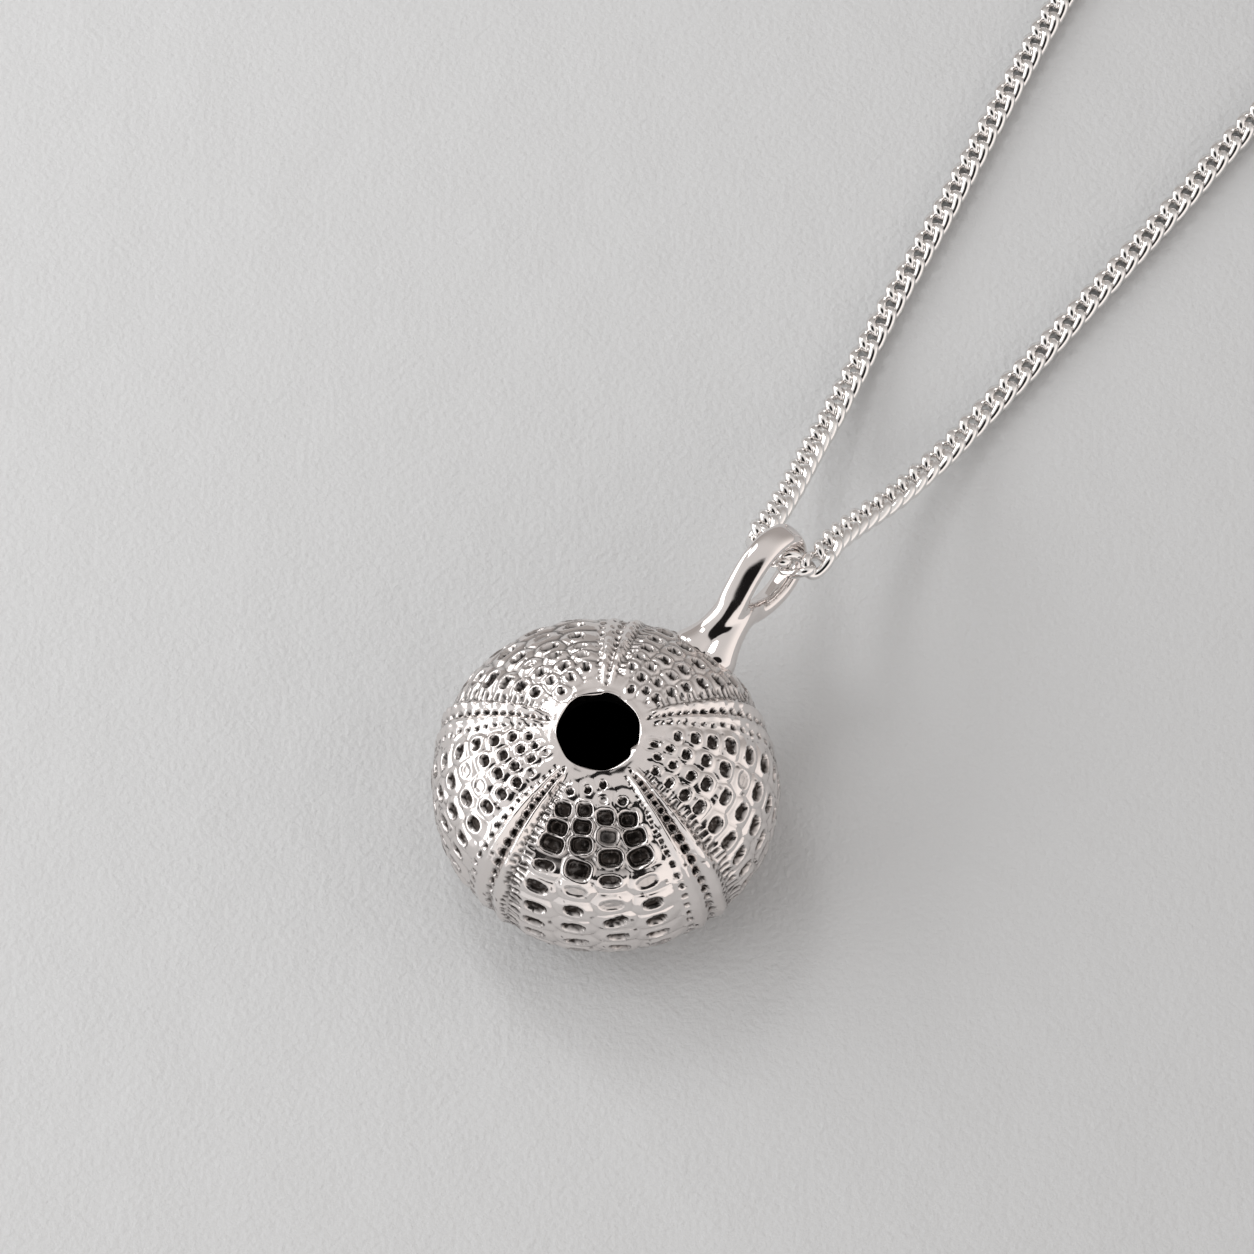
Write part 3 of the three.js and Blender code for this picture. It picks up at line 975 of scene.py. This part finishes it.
def shell(material):
    """The shell's outside with its relief, from within the rolled edge to the flat spot's middle."""
    places, radii, heights, columns = shell_rings()
    normals = -unit(np.stack([np.gradient(heights), -np.gradient(radii)], axis=1))
    azimuth = np.concatenate([np.arange(count) * 360 / count for count in columns])
    ring = np.repeat(np.arange(len(columns)), columns)
    relief = Relief(azimuth, places[ring], radii[ring])
    length = places[-1]
    carve_plates(relief, length)
    carve_seams(relief)
    carve_pore_bands(relief, length)
    scatter_specks(relief, length)
    direction = np.stack([np.cos(np.radians(azimuth)), np.sin(np.radians(azimuth))], axis=1)
    smooth = np.column_stack([direction * radii[ring, None], heights[ring]])
    organic_unevenness(relief, smooth)
    shape_lip(relief)
    relief.height *= smoothstep(0.0, BASE_FADE, heights[ring] - BASE_MARGIN)
    outward = np.column_stack([direction * normals[ring, :1], normals[ring, 1]])
    surface = smooth + outward * relief.height[:, None]
    surface[:, 2] = np.maximum(surface[:, 2], 0)

    first = int(columns[0])
    rolled = lip_rings(azimuth[:first], direction[:first], heights[0], relief.height[:first])
    vertices = np.concatenate(rolled + [surface, [(0, 0, 0)]])
    bend_crown(vertices)
    counts = [first] * len(LIP_ROLL) + [int(count) for count in columns]
    faces = ring_faces(counts)
    centre = len(vertices) - 1
    last = centre - counts[-1]
    for column in range(counts[-1]):
        faces.append((last + column, centre, last + (column + 1) % counts[-1]))
    piece = mesh_piece("urchin_casting", vertices, faces, material, slot="darkened_silver")

    # The rolled edge's lower rings are darkened as blackening and painted shade inside the opening
    lip_shade_and_oxide = np.full(first * len(LIP_ROLL), LIP_SHADE_AND_OXIDE)
    lip_shade_and_oxide[-first * BRIGHT_LIP_RINGS:] = 0
    tarnish_and_shade = np.concatenate([lip_shade_and_oxide, relief.tarnish_and_shade, [0]])
    layer = piece.data.attributes.new("tarnish_and_shade", "FLOAT", "POINT")
    layer.data.foreach_set("value", tarnish_and_shade.astype(np.float32))
    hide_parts("urchin_shell")


INSIDE_COLUMNS = 96
INSIDE_ROWS = 40
INSIDE_MOUTH = 3.1  # radius of the inner wall's top, just under the rolled edge
INSIDE_END = -0.45 * math.pi  # the angle where its flat bottom starts


def shell_inside(material):
    """The inner wall, seen through the opening, blackened and near black with painted shade."""
    inner_radius = SHELL_RADIUS - SHELL_WALL
    vertices = []
    for angle in np.linspace(math.acos(INSIDE_MOUTH / inner_radius), INSIDE_END, INSIDE_ROWS):
        rise = DOME_RISE if angle > 0 else BELLY_DROP
        radius = inner_radius * math.cos(angle)
        height = WIDEST_HEIGHT + (rise - SHELL_WALL) * math.sin(angle)
        shift = CROWN_SHIFT * max(0, height - WIDEST_HEIGHT) / DOME_RISE
        for column in range(INSIDE_COLUMNS):
            x, y = turned(360 * column / INSIDE_COLUMNS, radius)
            vertices.append((x + shift, y, height))
    faces = grid_faces(INSIDE_ROWS, INSIDE_COLUMNS)
    last = (INSIDE_ROWS - 1) * INSIDE_COLUMNS
    faces.append(tuple(range(last, last + INSIDE_COLUMNS)))
    mesh_piece("shell_inside", vertices, faces, material, slot="darkened_silver")


shell(cast_silver())
shell_inside(shade_and_oxide_silver())


# ---- Floor and light ----

FLOOR_SIZE = 1200


def floor(material):
    half = FLOOR_SIZE * MM / 2
    corners = [(-half, -half, 0), (half, -half, 0), (half, half, 0), (-half, half, 0)]
    mesh = bpy.data.meshes.new("floor")
    mesh.from_pydata(corners, [], [(0, 1, 2, 3)])
    mesh.materials.append(material)
    piece = placed("floor", mesh)


def soft_light(name, azimuth, elevation, distance, size, power, shows=True):
    """A soft box that shines at the origin, and may be left out of reflections."""
    data = bpy.data.lights.new(name, "AREA")
    data.shape = "RECTANGLE"
    data.size, data.size_y = size[0] * MM, size[1] * MM
    data.energy = power
    light = placed(name, data)
    out, rise = turned(elevation, distance)
    x, y = turned(azimuth, out)
    light.location = (x * MM, y * MM, rise * MM)
    light.rotation_euler = (-light.location).to_track_quat("-Z", "Y").to_euler()
    light.visible_glossy = shows


WALL_LEFT = (0.86, 0.85, 0.85, 1)
WALL_RIGHT = (1.13, 1.07, 1.035, 1)
WALL_BACK = (0.44, 0.415, 0.40, 1)
CEILING = (0.72, 0.70, 0.69, 1)
DARK_PATCH = (0.012, 0.011, 0.011, 1)
DARK_AZIMUTH = 280  # of the middle of the dark patch over the viewer's side
DARK_ELEVATION = 66
DARK_SPREAD = (30, 23)  # degrees from its middle where the dark patch starts and is full

# Where each side of the room blends into the next, as X, Y and Z of a unit vector towards it
LEFT_TO_RIGHT = (-0.7, 0.6)
SIDES_TO_BACK = (0.1, 0.8)
WALLS_TO_CEILING = (0.35, 1.0)


def studio():
    """A light room with a dark patch high over the viewer's side, as a studio looks to polished metal."""
    world = bpy.data.worlds.new("studio")
    world.use_nodes = True
    bpy.context.scene.world = world
    nodes = Nodes(world.node_tree)
    direction = nodes.add("ShaderNodeTexCoord").outputs["Generated"]
    x, y, z = nodes.add("ShaderNodeSeparateXYZ", {0: direction}).outputs
    out, rise = turned(DARK_ELEVATION)
    middle = (*turned(DARK_AZIMUTH, out), rise)
    inputs = {0: direction, 1: middle}
    nearness = nodes.add("ShaderNodeVectorMath", inputs, operation="DOT_PRODUCT").outputs[1]
    start, full = (math.cos(math.radians(angle)) for angle in DARK_SPREAD)
    dark = nodes.between(nearness, start, full)
    sides = nodes.mix(nodes.between(x, *LEFT_TO_RIGHT), WALL_LEFT, WALL_RIGHT)
    walls = nodes.mix(nodes.between(y, *SIDES_TO_BACK), sides, WALL_BACK)
    room = nodes.mix(nodes.between(z, *WALLS_TO_CEILING), walls, CEILING)
    colour = nodes.mix(dark, room, DARK_PATCH)
    background = nodes.add("ShaderNodeBackground", {"Color": colour, "Strength": 1.0})
    output = nodes.add("ShaderNodeOutputWorld")
    nodes.tree.links.new(background.outputs[0], output.inputs[0])


floor(paper())
studio()
soft_light("key", azimuth=168, elevation=25, distance=300, size=(500, 170), power=0.53)
soft_light("lamp", azimuth=116, elevation=51, distance=300, size=(75, 75), power=0.10)
soft_light("fill", azimuth=215, elevation=45, distance=260, size=(260, 260), power=0.075, shows=False)
bpy.context.scene.view_settings.view_transform = "Standard"
